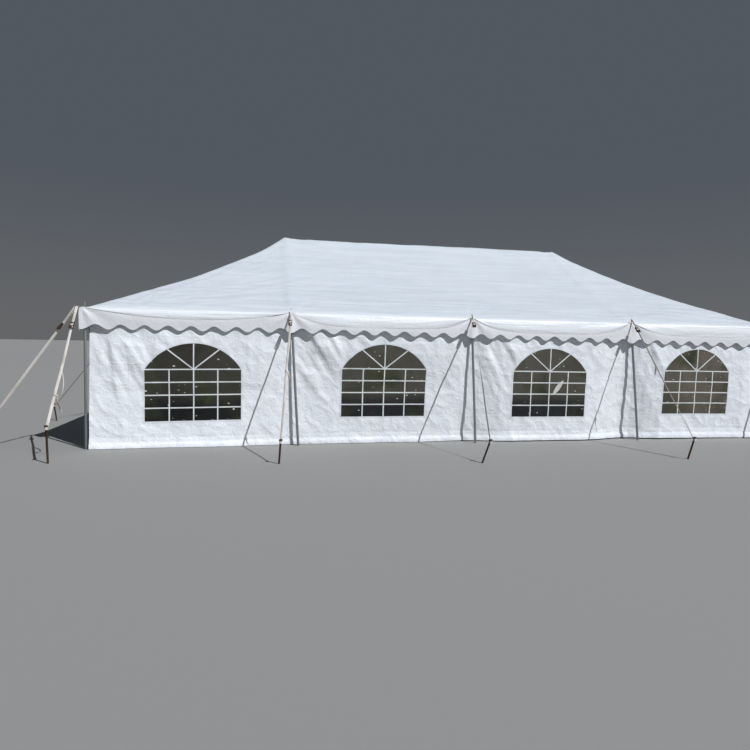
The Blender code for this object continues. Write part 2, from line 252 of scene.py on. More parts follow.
# The plug's rings from the ground up, and the collar's from the head down
plug = ((0.0, 0.0), (0.82, 0.0), (0.88, 0.003), (0.88, 0.01), (0.98, 0.0105), (1.0, 0.013))
collar = ((1.0, 0.05), (0.99, 0.048), (0.99, 0.046), (1.0, 0.044), (1.0, 0.003), (0.94, 0.0))
profile = [(side_pole_radius * share, level) for share, level in plug]
profile += [(side_pole_radius * share, head - level) for share, level in collar]
profile += [(side_pin_radius, head), (side_pin_radius, tip - 0.008)]
profile += [(side_pin_radius * 0.6, tip - 0.001), (0.0, tip)]
points, faces = lathe(profile, pole_sides)
side_spots = {}
for number in range(1, 13):
    low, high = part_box(f"side_pole_{number:02d}")
    drift = high.x - low.x - (high.y - low.y)
    x, y = low.x + (high.y - low.y) / 2, (low.y + high.y) / 2
    side_spots[number] = (x, y)
    moved = [point + Vector((x + drift * max(1 - point.z / head, 0.0), y, 0.0)) for point in points]
    pole = make_piece(f"side_pole_tube_{number:02d}", moved, faces, galvanised, "galvanised_steel")
    shade_round(pole)
    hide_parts(f"side_pole_{number:02d}")

# The top is one sheet of white PVC-coated polyester, its panels welded together with lap seams.
# It is pulled tight over the poles; the eave rolls over a rope line and droops between the poles.
top_step = 0.044
front_step = 0.034
back_step = 0.050
top_thickness = 0.0016
eave_pad = 0.030
peak_pad = 0.053
roof_hollow = 0.16
hip_rounding = 0.035
band_width = 0.21
band_lines = (0.05, 0.12, 0.20, 0.30, 0.42, 0.58, 0.74, 0.86, 0.94, 1.0)
eave_bulge = 0.022
edge_pinch = 0.005
# At each corner a ring draws the cloth out past the pole
corner_pull = 0.060
# How high the folds stand: along the eave, up the slopes, round a pole, a peak, a corner and a pin
streak_height = 0.022
wave_height = 0.012
pole_ray_height = 0.008
peak_ray_height = 0.006
hip_ray_height = 0.022
pin_ray_height = 0.011
cone_height = 0.010
lap_height = 0.013
rope_height = 0.006
# How far the sewn edge droops in the middle of each bay, and how square its curve is
front_droops = ((0.140, 2.3), (0.200, 4.6), (0.225, 4.4), (0.215, 4.2))
end_droops = ((0.165, 3.0), (0.175, 3.4))


def unit(value):
    """A value held between 0 and 1."""
    return np.clip(value, 0, 1)


def hump(value, middle, width):
    """A smooth hump, 1 high at its middle."""
    return np.exp(-((value - middle) / width) ** 2)


def hills(x, y, seed):
    """Smooth random hills about one unit wide, from about -1 to 1."""
    turns = np.random.default_rng(seed).uniform(0, 2 * np.pi, (64, 64))
    column = np.floor(x).astype(int)
    row = np.floor(y).astype(int)
    dx = x - column
    dy = y - row
    ease_x = dx ** 3 * (dx * (dx * 6 - 15) + 10)
    ease_y = dy ** 3 * (dy * (dy * 6 - 15) + 10)
    total = 0.0
    for i, weight_x in ((0, 1 - ease_x), (1, ease_x)):
        for j, weight_y in ((0, 1 - ease_y), (1, ease_y)):
            turn = turns[(column + i) % 64, (row + j) % 64]
            slope = np.cos(turn) * (dx - i) + np.sin(turn) * (dy - j)
            total = total + slope * weight_x * weight_y
    return 1.5 * total


def creases(x, y, seed):
    """Sharp random ridges about one unit apart, from 0 to 1."""
    return (1 - np.minimum(np.abs(hills(x, y, seed)) * 1.8, 1)) ** 2


def droop(place, half, droops):
    """How far the sewn edge droops at a place along a side."""
    spacing = 2 * half / len(droops)
    run = np.clip(place + half, 0, 2 * half - 1e-9)
    index = np.floor(run / spacing).astype(int)
    share = unit((run - index * spacing - eave_pad) / (spacing - 2 * eave_pad))
    deep, square = np.array(droops)[index].T
    return deep * (1 - np.abs(2 * share - 1) ** square)


def edge_out(place, half, droops):
    """How far the sewn edge stands out from the pole line."""
    share = droop(place, half, droops) / max(depth for depth, square in droops)
    return eave_pad + eave_bulge * share


def corner_draw(points):
    """Points of the top or the valance, drawn out where they are near a corner."""
    reach = np.hypot(half_length - np.abs(points[..., 0]), half_width - np.abs(points[..., 1]))
    pull = corner_pull * np.exp(-reach / 0.16)
    drawn = points.copy()
    drawn[..., 0] += np.sign(points[..., 0]) * pull * 0.85
    drawn[..., 1] += np.sign(points[..., 1]) * pull * 0.50
    return drawn


def pin_rays(from_pole, below, seed):
    """Folds that fan out from a pole's pin over the eave's band and the valance."""
    reach = np.hypot(from_pole, below)
    turn = np.arctan2(below, from_pole)
    wave = np.sin(turn * 8 + 1.3 * seed + 1.5 * hills(reach * 2.5, turn * 0.6 + seed, 9))
    return pin_ray_height * wave * np.exp(-reach / 0.38) * unit(reach / 0.08)


def from_near_pole(place, half, count):
    """The signed distance along a side from the nearest pole, and that pole's number."""
    spacing = 2 * half / count
    number = np.round((place + half) / spacing)
    return place + half - number * spacing, number


def soft_least(a, b, width):
    """The lesser of two distances, rounded where they cross."""
    return (a + b - np.sqrt((a - b) ** 2 + width ** 2)) / 2


def top_height(x, y):
    """The pulled-tight shape of the top inside the pole line."""
    inward = soft_least(half_length - np.abs(x), half_width - np.abs(y), hip_rounding)
    share = unit((inward - eave_pad) / (half_width - eave_pad - peak_pad))
    rise = peak_height - eave_height
    # The cloth stands a little fuller near the eave, and most of all on the right end's slope
    full = 0.027 * (np.sin(np.pi * share) + np.sin(2 * np.pi * share)) + 0.010 * np.sin(4 * np.pi * share)
    full = full + 0.028 * hump(share, 0.8, 0.16) * unit((x - 2.0) / 2.0)
    # The ridge isn't quite level between the two peaks
    ridge_places = (-3.0, -2.8, -1.5, 0.0, 1.3, 2.7, 3.0)
    ridge = np.interp(x, ridge_places, (0.0, -0.012, -0.009, 0.004, 0.014, 0.017, 0.0))
    return eave_height + rise * share - 4 * roof_hollow * share * (1 - share) + full + ridge * share ** 6


def top_folds(x, y):
    """Wrinkles that the pull of the poles leaves in the top."""
    from_end = half_length - np.abs(x)
    from_side = half_width - np.abs(y)
    inward = np.minimum(from_end, from_side)
    along = np.where(from_side < from_end, x, y + 20)
    off_hip = unit(np.abs(from_end - from_side) / 0.25)
    low = hump(inward, 0.22, 0.45)
    streaks = creases(along * 0.5, inward * 5.5 + 0.25 * hills(along * 0.8, inward, 3), 5)
    lift = streak_height * (streaks - 0.35) * low * off_hip
    lift += wave_height * hills(along * 0.5, inward * 3.4, 6) * np.exp(-inward / 1.3) * off_hip
    # Rays run from each side pole, from both peaks, and as long creases from the corners
    for number, (px, py) in side_spots.items():
        reach = np.hypot(x - px, y - py)
        turn = np.arctan2(y - py, x - px)
        rays = np.sin(turn * 15 + number * 1.7 + 1.2 * hills(reach * 2 + number, turn, 8))
        lift += pole_ray_height * rays * np.exp(-reach / 0.45) * unit(reach / 0.12)
    for seed, px in ((11, -ridge_end), (12, ridge_end)):
        reach = np.hypot(x - px, y)
        turn = np.arctan2(y, x - px)
        rays = np.sin(turn * 24 + seed + 1.5 * hills(reach * 1.5, turn * 2, seed))
        lift += peak_ray_height * rays * np.exp(-reach / 0.45) * unit(reach / 0.12)
    for seed, px, py in ((17, -1, -1), (18, 1, -1), (19, 1, 1), (20, -1, 1)):
        reach = np.hypot(x - px * half_length, y - py * half_width) + 0.05
        turn = np.arctan2(np.abs(y - py * half_width), np.abs(x - px * half_length))
        rays = creases(turn * 15, np.log(reach) * 1.6, seed) - 0.3
        fade = unit((reach - 0.35) / 0.5)
        lift += hip_ray_height * rays * (0.25 + 0.75 * off_hip) * fade * hump(reach, 0, 3.6)
    lift += 0.009 * hills(x * 1.1, y * 1.4, 14) + 0.004 * hills(x * 3.1, y * 3.1, 15)
    lift += 0.002 * creases(x * 2.3, y * 2.1, 16)
    # The laced lap joints that run down from each peak stand a little proud, steeper on their left
    off_lap = x - np.where(x < 0, -ridge_end, ridge_end)
    lap = hump(off_lap, 0, np.where(off_lap < 0, 0.075, 0.24)) * unit(inward / 0.2)
    # A rope lies under each hip, with a shallow groove beside it
    off_hip_line = np.abs(from_end - from_side)
    rope = hump(off_hip_line, 0, 0.05) - 0.7 * hump(off_hip_line, 0.16, 0.06)
    rope = rope * unit((inward - 0.3) / 0.4) * unit((half_width - 0.3 - inward) / 0.4)
    # Over each pin the cloth is pushed up into a small cone, and pulled flat round it
    cone = 0.0
    flat = 1.0
    for px, py in side_spots.values():
        reach = np.hypot(x - px, y - py)
        cone = cone + cone_height * np.exp(-reach / 0.05)
        flat = flat * unit(reach / 0.22)
    calm = 0.35 + 0.65 * unit(inward / 0.35)
    return lift * flat * calm + lap_height * lap + rope_height * rope + cone


def top_place(across, along):
    """Where a point of the top's flat cut lies; beyond the pole line it is on the rolled-over band."""
    x = np.clip(across, -half_length, half_length)
    y = np.clip(along, -half_width, half_width)
    end_share = unit((np.abs(across) - half_length) / band_width)
    side_share = unit((np.abs(along) - half_width) / band_width)
    z = top_height(x, y) + top_folds(x, y) * (1 - np.maximum(end_share, side_share))
    result = np.stack([x, y, z], -1)
    ends = (0, end_share, across, y, half_width, end_droops)
    long_sides = (1, side_share, along, x, half_length, front_droops)
    for axis, share, beyond, place, half, droops in (ends, long_sides):
        out = edge_out(place, half, droops) * np.sin(share * np.pi / 2)
        # The last third of the band is drawn in to its seam
        out = out - edge_pinch * unit((share - 0.62) / 0.38) ** 2
        down = droop(place, half, droops) * share ** 1.35
        dimple = 0.004 * hills(place * 1.6, share * 3 + axis * 9, 18) * np.sin(share * np.pi)
        from_pole, number = from_near_pole(place, half, len(droops))
        rays = pin_rays(from_pole, down + 0.02, number + axis * 5) * unit(share * 4)
        result[..., axis] += np.sign(beyond) * (out + dimple + rays)
        result[..., 2] -= down
    return corner_draw(result)


def make_shell(name, flat, faces, place, thickness, material, slot):
    """Hang a flat cut of cloth where place puts it, as one closed thin sheet with its flat cut as UVs."""
    outer = place(flat[:, 0], flat[:, 1])
    faces = np.asarray(faces)
    triangles = faces[:, :3] if faces.shape[1] == 3 else np.concatenate([faces[:, :3], faces[:, [0, 2, 3]]])
    a, b, c = (outer[triangles[:, corner]] for corner in range(3))
    across = np.cross(b - a, c - a)
    normals = np.zeros_like(outer)
    for corner in range(3):
        np.add.at(normals, triangles[:, corner], across)
    normals /= np.maximum(np.linalg.norm(normals, axis=1, keepdims=True), 1e-12)
    count = len(outer)
    points = np.concatenate([outer, outer - normals * thickness])
    tails = faces.reshape(-1)
    heads = np.roll(faces, -1, axis=1).reshape(-1)
    seen = set((tails * count + heads).tolist())
    free = [(t, h) for t, h in zip(tails.tolist(), heads.tolist()) if h * count + t not in seen]
    rims = [(h, t, t + count, h + count) for t, h in free]
    all_faces = faces.tolist() + (faces[:, ::-1] + count).tolist() + rims
    piece = make_piece(name, points.tolist(), all_faces, material, slot)
    mesh = piece.data
    corners = np.zeros(len(mesh.loops), np.int32)
    mesh.loops.foreach_get("vertex_index", corners)
    cloth = mesh.uv_layers.new(name="cloth")
    cloth.data.foreach_set("uv", flat[corners % count].astype(np.float32).reshape(-1))
    shade_round(piece, 60.0)
    return piece


def grid_lines(half, low_step, high_step):
    """Lines of the top's flat cut along one direction, with the band's own rows at both ends."""
    low = np.linspace(-half, 0, int(round(half / low_step)) + 1)
    high = np.linspace(0, half, int(round(half / high_step)) + 1)
    band = half + band_width * np.array(band_lines)
    return np.concatenate([-band[::-1], low, high[1:], band])


# PVC-coated polyester: a white film over a woven base. The film gives a soft sheen, the weave
# prints through as a 4 mm net, drawn coarser than its 1 mm threads, and folding leaves creases.
def coated_cloth(name, bright, shaded, sheen, crumple, drag=0.0, creased=0.0, painted_band_light=""):
    """White coated cloth: its colours and sheen, then its crumples, drag lines and creases in metres."""
    material, add, shader = new_material(name)
    where = add("TexCoord")
    spot = where.outputs["Object"]
    cut = where.outputs["UV"]
    cloud = add("TexNoise", Vector=spot, Scale=1.3, Detail=5.0)
    cloth = add("Mix", Factor=cloud, A=bright, B=shaded, data_type="RGBA")
    if drag:
        # Painted light and shade: streaks along the eave, lighter and darker along the same lines as the drag
        # folds
        slope = add("Mapping", Vector=cut, Scale=(0.7, 7.0, 1.0))
        lines = add("TexNoise", Vector=slope, Scale=1.0, Detail=4.0, Distortion=0.3)
        painted_streak_shade = add("MapRange", Value=lines, From_Min=0.35, From_Max=0.65, To_Min=0.95, To_Max=1.03)
        cloth = add("Mix", Factor=1.0, A=cloth, B=painted_streak_shade, data_type="RGBA", blend_type="MULTIPLY")
    if painted_band_light:
        # Painted light: the eave's steep band is painted whiter than the slopes above it, to show it as
        # brightly lit
        edge = add("SeparateXYZ", cut)
        band_light_share = add("MapRange", Value=edge.outputs["Y"], From_Min=-0.04, From_Max=0.16, To_Min=1.0,
                    To_Max=0.0, interpolation_type="SMOOTHSTEP")
        cloth = add("Mix", Factor=band_light_share, A=cloth, B=painted_band_light, data_type="RGBA")
    film = add("MapRange", Value=cloud, To_Min=sheen - 0.06, To_Max=sheen + 0.08)
    wrinkles = add("TexNoise", Vector=spot, Scale=11.0, Detail=5.0, Roughness=0.6, Distortion=0.8)
    sharp = add("TexVoronoi", Vector=spot, Scale=9.0, feature="DISTANCE_TO_EDGE")
    edge = add("MapRange", Value=sharp, From_Max=0.12, To_Min=1.0, To_Max=0.0)
    broken = add("Math", edge, wrinkles, operation="MULTIPLY")
    both = add("Math", broken, 0.12, wrinkles, operation="MULTIPLY_ADD")
    folds = add("Bump", Height=both, Distance=crumple)
    if drag:
        # Drag lines lie along the eave: about 0.14 m apart and over a metre long, fading up the slope
        up = add("SeparateXYZ", cut)
        fade = add("MapRange", Value=up.outputs["Y"], From_Min=0.2, From_Max=3.5, To_Min=1.0, To_Max=0.5)
        pull = add("Math", lines, fade, operation="MULTIPLY")
        folds = add("Bump", Height=pull, Distance=drag, Normal=folds)
    if creased:
        # Storage creases: a net of sharp folds 0.61 m by 0.44 m from years of folding, worn away in places
        net = add("TexBrick", Vector=cut, Scale=1.0, Mortar_Size=0.009, Mortar_Smooth=1.0, Brick_Width=0.61,
                  Row_Height=0.44, offset=0.0)
        kept = add("MapRange", Value=cloud, From_Min=0.49, From_Max=0.62)
        worn = add("Math", net.outputs["Fac"], kept, operation="MULTIPLY")
        folds = add("Bump", Height=worn, Distance=creased, Normal=folds)
    warp = add("TexWave", Vector=cut, Scale=78.5)
    weft = add("TexWave", Vector=cut, Scale=78.5, bands_direction="Y")
    threads = add("Math", warp.outputs["Fac"], weft.outputs["Fac"], operation="ADD")
    weave = add("Bump", Height=threads, Strength=0.25, Distance=0.0002, Normal=folds)
    feed(shader, Base_Color=cloth, Roughness=film, Normal=weave, IOR=1.46)
    return material


# Painted shade: the top's cloth is painted greyer than the walls' and the valance's, evening out the stronger
# light on its slopes
top_cloth = coated_cloth("coated_polyester_top", "#d0d6dc", "#c5ced6", 0.46, 0.005,
                         drag=0.028, painted_band_light="#e4e8ec")
lines_x = grid_lines(half_length, top_step, top_step)
lines_y = grid_lines(half_width, front_step, back_step)
flat_x, flat_y = np.meshgrid(lines_x, lines_y, indexing="ij")
flat = np.stack([flat_x.reshape(-1), flat_y.reshape(-1)], -1)
rows = len(lines_y)
cells = (np.arange(len(lines_x) - 1)[:, None] * rows + np.arange(rows - 1)).reshape(-1)
faces = np.stack([cells, cells + rows, cells + rows + 1, cells + 1], -1)
top = make_shell("tent_top", flat, faces, top_place, top_thickness, top_cloth, "top_fabric")

# Each slope's marks run along its own eave: the first is the place along it, the second how far up
marks = np.zeros(2 * len(top.data.loops), np.float32)
cloth = top.data.uv_layers["cloth"]
cloth.data.foreach_get("uv", marks)
marks = marks.reshape(-1, 2)
from_end = half_length - np.abs(marks[:, 0])
from_side = half_width - np.abs(marks[:, 1])
sizes = np.zeros(len(top.data.polygons), np.int32)
top.data.polygons.foreach_get("loop_total", sizes)
faces_of = np.repeat(np.arange(len(sizes)), sizes)
# A face lies on an end's slope where its corners are nearer to the end
leaning = np.bincount(faces_of, from_end - from_side)[faces_of]
on_ends = np.stack([marks[:, 1] + 40, from_end], -1)
on_sides = np.stack([marks[:, 0], from_side], -1)
slopes = np.where((leaning < 0)[:, None], on_ends, on_sides)
cloth.data.foreach_set("uv", slopes.astype(np.float32).reshape(-1))
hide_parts("roof_canopy")

# The valance is a strip of the same cloth sewn to the eave's edge. Its lower edge is cut in
# waves and bound with folded tape, and it hangs free in front of the walls.
valance_step = 0.024
valance_thickness = 0.0014
valance_wave = 0.078
waves_per_bay = 9
binding_width = 0.016
binding_lift = 0.0009
# How far the straps' pull swings it out over a pole, and how far it hangs back elsewhere
valance_swing = 0.034
valance_tuck = 0.012
quarter = math.pi / 2
# How far the waves' tips hang under the eave at each pole line, from left to right
front_tips = (0.325, 0.315, 0.335, 0.365, 0.400)
end_tips = (0.325, 0.33, 0.34)
# Each side's half length, how far out it lies, its turn from the front, its droops and its tips
sides = {
    "front": (half_length, half_width, 0.0, front_droops, front_tips),
    "back": (half_length, half_width, 2 * quarter, front_droops[::-1], front_tips[::-1]),
    "left": (half_width, half_length, -quarter, end_droops, end_tips),
    "right": (half_width, half_length, quarter, end_droops, end_tips),
}


def valance_low(place, half, tips):
    """Height of the waved lower edge at a place along a side."""
    spots = np.linspace(-half, half, len(tips))
    count = waves_per_bay * (len(tips) - 1)
    wave = np.cos(2 * np.pi * (place + half) / (2 * half) * count)
    wave = np.where(np.abs(place) > half, 1.0, wave)
    return eave_height - np.interp(place, spots, tips) + valance_wave * (1 - wave) / 2


def valance_high(place, half, droops):
    """Height of the seam to the top, just under its cloth."""
    return eave_height - top_thickness - 0.0003 - droop(place, half, droops)


def valance_out(word, place, height):
    """How far out the valance hangs from the middle: soft ripples that grow towards its edge."""
    half, other_half, turn, droops = sides[word][:4]
    under = valance_high(place, half, droops) - height
    down = unit(under / 0.3)
    pinched = edge_pinch * (1 - unit(under / 0.08)) ** 2
    from_pole, number = from_near_pole(place, half, len(droops))
    loose = unit(np.abs(from_pole) / 0.4)
    ripple = 0.012 * hills(place * 2.1, height * 1.2 + turn * 7, 21)
    ripple = ripple + 0.004 * hills(place * 6.0, height * 5.0, 22)
    rays = pin_rays(from_pole, eave_height + 0.02 - height, number + (0 if half == half_length else 5))
    out = other_half + edge_out(place, half, droops) - pinched
    swing = valance_swing * np.exp(-np.abs(from_pole) / 0.11) * unit((half - np.abs(place)) / 0.5)
    return out + down * (ripple * loose - valance_tuck + swing) + rays


def turned(along, out, height, turn):
    """Points of a side, from how far along it and how far out they are."""
    x = along * math.cos(turn) + out * math.sin(turn)
    y = along * math.sin(turn) - out * math.cos(turn)
    return np.stack([x, y, height], -1)


def hang_valance(word, lift, place, height):
    """Where the valance hangs, and what is sewn to it at a lift above it."""
    return corner_draw(turned(place, valance_out(word, place, height) + lift, height, sides[word][2]))


def resample(loop, step):
    """A closed outline with points no further apart than a step."""
    points = []
    for start, end in zip(loop, np.roll(loop, -1, axis=0)):
        count = max(int(math.ceil(np.linalg.norm(end - start) / step)), 1)
        points += [start + (end - start) * index / count for index in range(count)]
    return np.array(points)


def flat_cut(outlines, holes, step):
    """Cut cloth flat: triangles a step wide that fill the outlines but not the holes."""
    loops = [resample(np.array(loop), step) for loop in [*outlines, *holes]]
    corners = np.concatenate(loops)
    near = kdtree.KDTree(len(corners))
    for index, point in enumerate(corners):
        near.insert((*point, 0.0), index)
    near.balance()
    low, high = corners.min(0), corners.max(0)
    steps = np.maximum(np.round((high - low) / step).astype(int), 1)
    columns = np.linspace(low[0], high[0], steps[0] + 1)
    rows = np.linspace(low[1], high[1], steps[1] + 1)
    fill = [(x, y) for x in columns for y in rows if near.find((x, y, 0.0))[2] > 0.6 * step]
    starts = np.cumsum([0] + [len(loop) for loop in loops])
    rings = [list(range(start, end)) for start, end in zip(starts, starts[1:])]
    found = delaunay_2d_cdt([Vector(point) for point in [*corners.tolist(), *fill]], [], rings, 0, 1e-6)
    points = np.array([point[:] for point in found[0]])
    kept = []
    for face, owners in zip(found[2], found[5]):
        if any(owner < len(outlines) for owner in owners) and all(owner < len(outlines) for owner in owners):
            kept.append(face)
    used, faces = np.unique(np.array(kept).reshape(-1), return_inverse=True)
    return points[used], faces.reshape(-1, 3)


def hang_cut(name, outlines, holes, step, hang, thickness, material, slot):
    """Cut cloth flat and hang it up: the piece, and its flat area in square metres."""
    flat, faces = flat_cut(outlines, holes, step)
    a, b, c = (flat[faces[:, corner]] for corner in range(3))
    area = float(abs((b - a)[:, 0] * (c - a)[:, 1] - (b - a)[:, 1] * (c - a)[:, 0]).sum() / 2)
    return make_shell(name, flat, faces, hang, thickness, material, slot), area


# Painted light: the valance's cloth is painted whiter than the top's, for the weaker light on its upright
# face
valance_cloth = coated_cloth("coated_polyester_valance", "#e9eaec", "#dfe1e4", 0.5, 0.006)
binding_tape = coated_cloth("woven_binding_tape", "#e4e6ea", "#d9dce1", 0.7, 0.0008)
for word, (half, other_half, turn, droops, tips) in sides.items():
    end = half + eave_pad + (0.004 if half == half_length else 0.0)
    places = np.linspace(-end, end, int(2 * end / valance_step) + 1)
    lower = np.stack([places, valance_low(places, half, tips)], -1)
    upper = np.stack([places, valance_high(places, half, droops)], -1)
    taped = lower + [0.0, binding_width]
    valance, area = hang_cut(
        f"valance_cloth_{word}", [np.concatenate([lower, upper[::-1]])], [], valance_step,
        partial(hang_valance, word, 0.0), valance_thickness, valance_cloth, "valance_fabric",
    )
    binding, _ = hang_cut(
        f"valance_binding_{word}", [np.concatenate([lower, taped[::-1]])], [], binding_width,
        partial(hang_valance, word, binding_lift), valance_thickness + 2 * binding_lift,
        binding_tape, "valance_fabric",
    )
    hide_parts(f"valance_{word}")

# The walls are six panels of lighter coated cloth, clipped to a line under the eave and hanging
# free inside the poles. They fold where the eave pulls them and flare out at the foot.
front_wall_step = 0.022
other_wall_step = 0.034
wall_thickness = 0.0012
front_low, front_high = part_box("front_wall_left")
wall_inset = half_width + front_low.y
wall_foot = front_low.z
wall_top = front_high.z
long_wall = -front_low.x
short_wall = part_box("left_wall")[1].y
window_width = 1.465
window_sill = 0.43
window_side = 0.81
window_rise = 0.41
# The long walls' windows sit a little to the front's right of their bays
window_asides = {"front": 0.03, "back": -0.03, "left": 0.0, "right": 0.0}
wall_clip_drop = 0.016
# The cloth stops this far short of the valance, and two panels end this far from where they meet
valance_gap = 0.032
panel_gap = 0.0006
hem_height = 0.17
hem_flare = 0.034
# Folds of each kind of bay, from the bay's middle: start, end, depth, its steep and its gentle
# width, and how far it bows to the right
bay_folds = (
    (
        (-1.17, 1.90, -1.04, 0.62, 0.0161, 0.042, 0.099, -0.02),
        (-1.04, 1.92, -0.72, 1.20, 0.0161, 0.067, 0.083, 0.03),
        (-0.95, 1.90, -0.63, 1.28, 0.0129, 0.057, 0.066, 0.02),
        (-0.55, 1.88, -0.26, 1.60, 0.0146, 0.057, 0.055, 0.00),
        (-1.00, 0.82, -1.00, 0.02, 0.0048, 0.042, 0.066, 0.00),
        (-0.38, 0.43, -0.38, 0.02, 0.0033, 0.042, 0.055, 0.00),
        (0.88, 1.90, 0.89, 1.10, 0.0048, 0.042, 0.055, 0.00),
        (1.42, 1.95, 1.05, 1.30, 0.0081, 0.114, 0.050, 0.04),
        (1.30, 0.90, 1.22, 0.10, 0.0081, 0.114, 0.055, 0.00),
    ),
    (
        (-1.30, 1.98, -1.02, 1.42, 0.0274, 0.076, 0.110, 0.02),
        (-1.24, 1.94, -0.90, 1.24, 0.0226, 0.067, 0.088, 0.03),
        (-0.98, 1.90, -0.67, 1.34, 0.0161, 0.067, 0.077, 0.02),
        (-0.55, 1.88, -0.24, 1.60, 0.0129, 0.057, 0.055, 0.01),
        (-1.35, 1.25, -1.04, 0.76, 0.0194, 0.067, 0.088, 0.04),
        (-1.10, 0.80, -0.90, 0.70, 0.0129, 0.057, 0.055, 0.01),
        (-1.42, 0.70, -1.38, 0.10, 0.0096, 0.076, 0.088, 0.00),
        (1.35, 1.95, 1.20, 1.10, 0.0081, 0.152, 0.055, 0.03),
        (0.30, 0.42, 0.36, 0.03, 0.0040, 0.042, 0.066, 0.00),
    ),
    (
        (-0.95, 1.95, -0.60, 1.34, 0.0274, 0.085, 0.110, 0.03),
        (-0.82, 1.88, -0.49, 1.50, 0.0129, 0.057, 0.066, 0.02),
        (-0.45, 1.88, -0.20, 1.66, 0.0096, 0.057, 0.055, 0.00),
        (-1.30, 1.55, -1.02, 0.90, 0.0129, 0.114, 0.121, 0.03),
        (-0.95, 1.00, -0.94, 0.25, 0.0056, 0.042, 0.066, 0.00),
        (-1.36, 0.75, -1.30, 0.15, 0.0096, 0.057, 0.088, 0.00),
        (1.18, 1.92, 0.98, 1.20, 0.0113, 0.133, 0.050, 0.04),
        (1.02, 0.48, 1.02, 0.10, 0.0048, 0.042, 0.055, 0.00),
        (0.90, 1.90, 0.62, 1.50, 0.0096, 0.095, 0.050, 0.00),
    ),
    (
        (-1.21, 1.75, -1.26, 0.84, 0.0129, 0.095, 0.088, 0.02),
        (-1.05, 1.92, -0.78, 1.36, 0.0146, 0.076, 0.088, 0.02),
        (-0.60, 1.88, -0.30, 1.62, 0.0113, 0.057, 0.055, 0.00),
        (-1.05, 0.95, -0.85, 0.40, 0.0081, 0.057, 0.077, 0.03),
        (0.70, 1.90, 0.50, 1.58, 0.0096, 0.085, 0.050, 0.00),
        (1.20, 1.95, 1.02, 1.10, 0.0146, 0.152, 0.050, 0.03),
        (1.05, 0.90, 1.04, 0.05, 0.0056, 0.042, 0.055, 0.00),
    ),
)
# Which kind of bay comes where along each side, from its left as seen from outside
bay_kinds = {"front": (0, 1, 2, 3), "back": (2, 0, 3, 1), "left": (1, 3), "right": (2, 0)}
# For each kind of bay, how deep the drag folds are beside the window's left and right shoulders
bay_drags = ((0.021, 0.004), (0.023, 0.006), (0.019, 0.008), (0.014, 0.008))
# And how far its cloth stands out between the poles, and how much further its head bellies out
bay_bellies = ((0.0, 0.046), (0.0, 0.042), (0.046, 0.008), (0.042, 0.012))
# Places along each side; how far the foot stands in there, how far the cloth has slid to the left
# under the valance, how much lower it hangs, and how high its hem hangs off the ground
foot_table = {
    "front": (
        (-6.1, -0.09, 0, 0, 0), (-5.3, -0.06, -0.006, 0.027, 0), (-3.8, 0, 0.008, 0.008, 0),
        (-2.9, 0.09, -0.003, -0.004, 0), (-2.3, 0.09, -0.015, -0.018, 0), (-0.8, 0.12, 0.003, -0.018, 0),
        (0.15, 0.17, 0.004, 0, 0.008), (0.8, 0.06, 0.022, -0.004, 0.012), (2.3, 0.05, 0.088, 0, 0.012),
        (3.28, 0.19, 0.072, -0.023, 0.014), (3.85, 0.06, 0.078, -0.04, 0.016),
        (4.57, 0.06, 0.120, -0.04, 0.014), (5.3, 0.05, 0.160, -0.035, 0.01), (6.1, 0.02, 0, 0, 0),
    ),
    "back": (
        (-6.1, 0.02, 0, 0, 0), (-3.05, 0.06, 0, 0.01, 0.01), (0.0, 0.02, 0, 0, 0),
        (3.05, 0.07, 0, -0.01, 0.02), (6.1, 0.02, 0, 0, 0),
    ),
    "left": ((-3.05, 0, 0, 0, 0), (0.0, 0.05, 0, 0.01, 0.01), (3.05, 0.02, 0, 0, 0)),
    "right": ((-3.05, 0.02, 0, 0, 0), (0.0, 0.06, 0, 0.01, 0), (3.05, 0, 0, 0, 0)),
}


def fold(place, height, start, top_end, end, low_end, depth, steep, gentle, bow):
    """One fold that stands out of the cloth, steep on its left and gentle on its right."""
    run = math.hypot(end - start, low_end - top_end)
    share = ((place - start) * (end - start) + (height - top_end) * (low_end - top_end)) / run ** 2
    off = ((place - start) * (top_end - low_end) + (height - top_end) * (end - start)) / run
    off = off - bow * 4 * share * (1 - share)
    width = np.where(off < 0, steep, gentle)
    fade = unit(share / 0.3) * unit((1.08 - share) / 0.4)
    return depth * hump(off, 0, width) * fade ** 2 * (3 - 2 * fade)


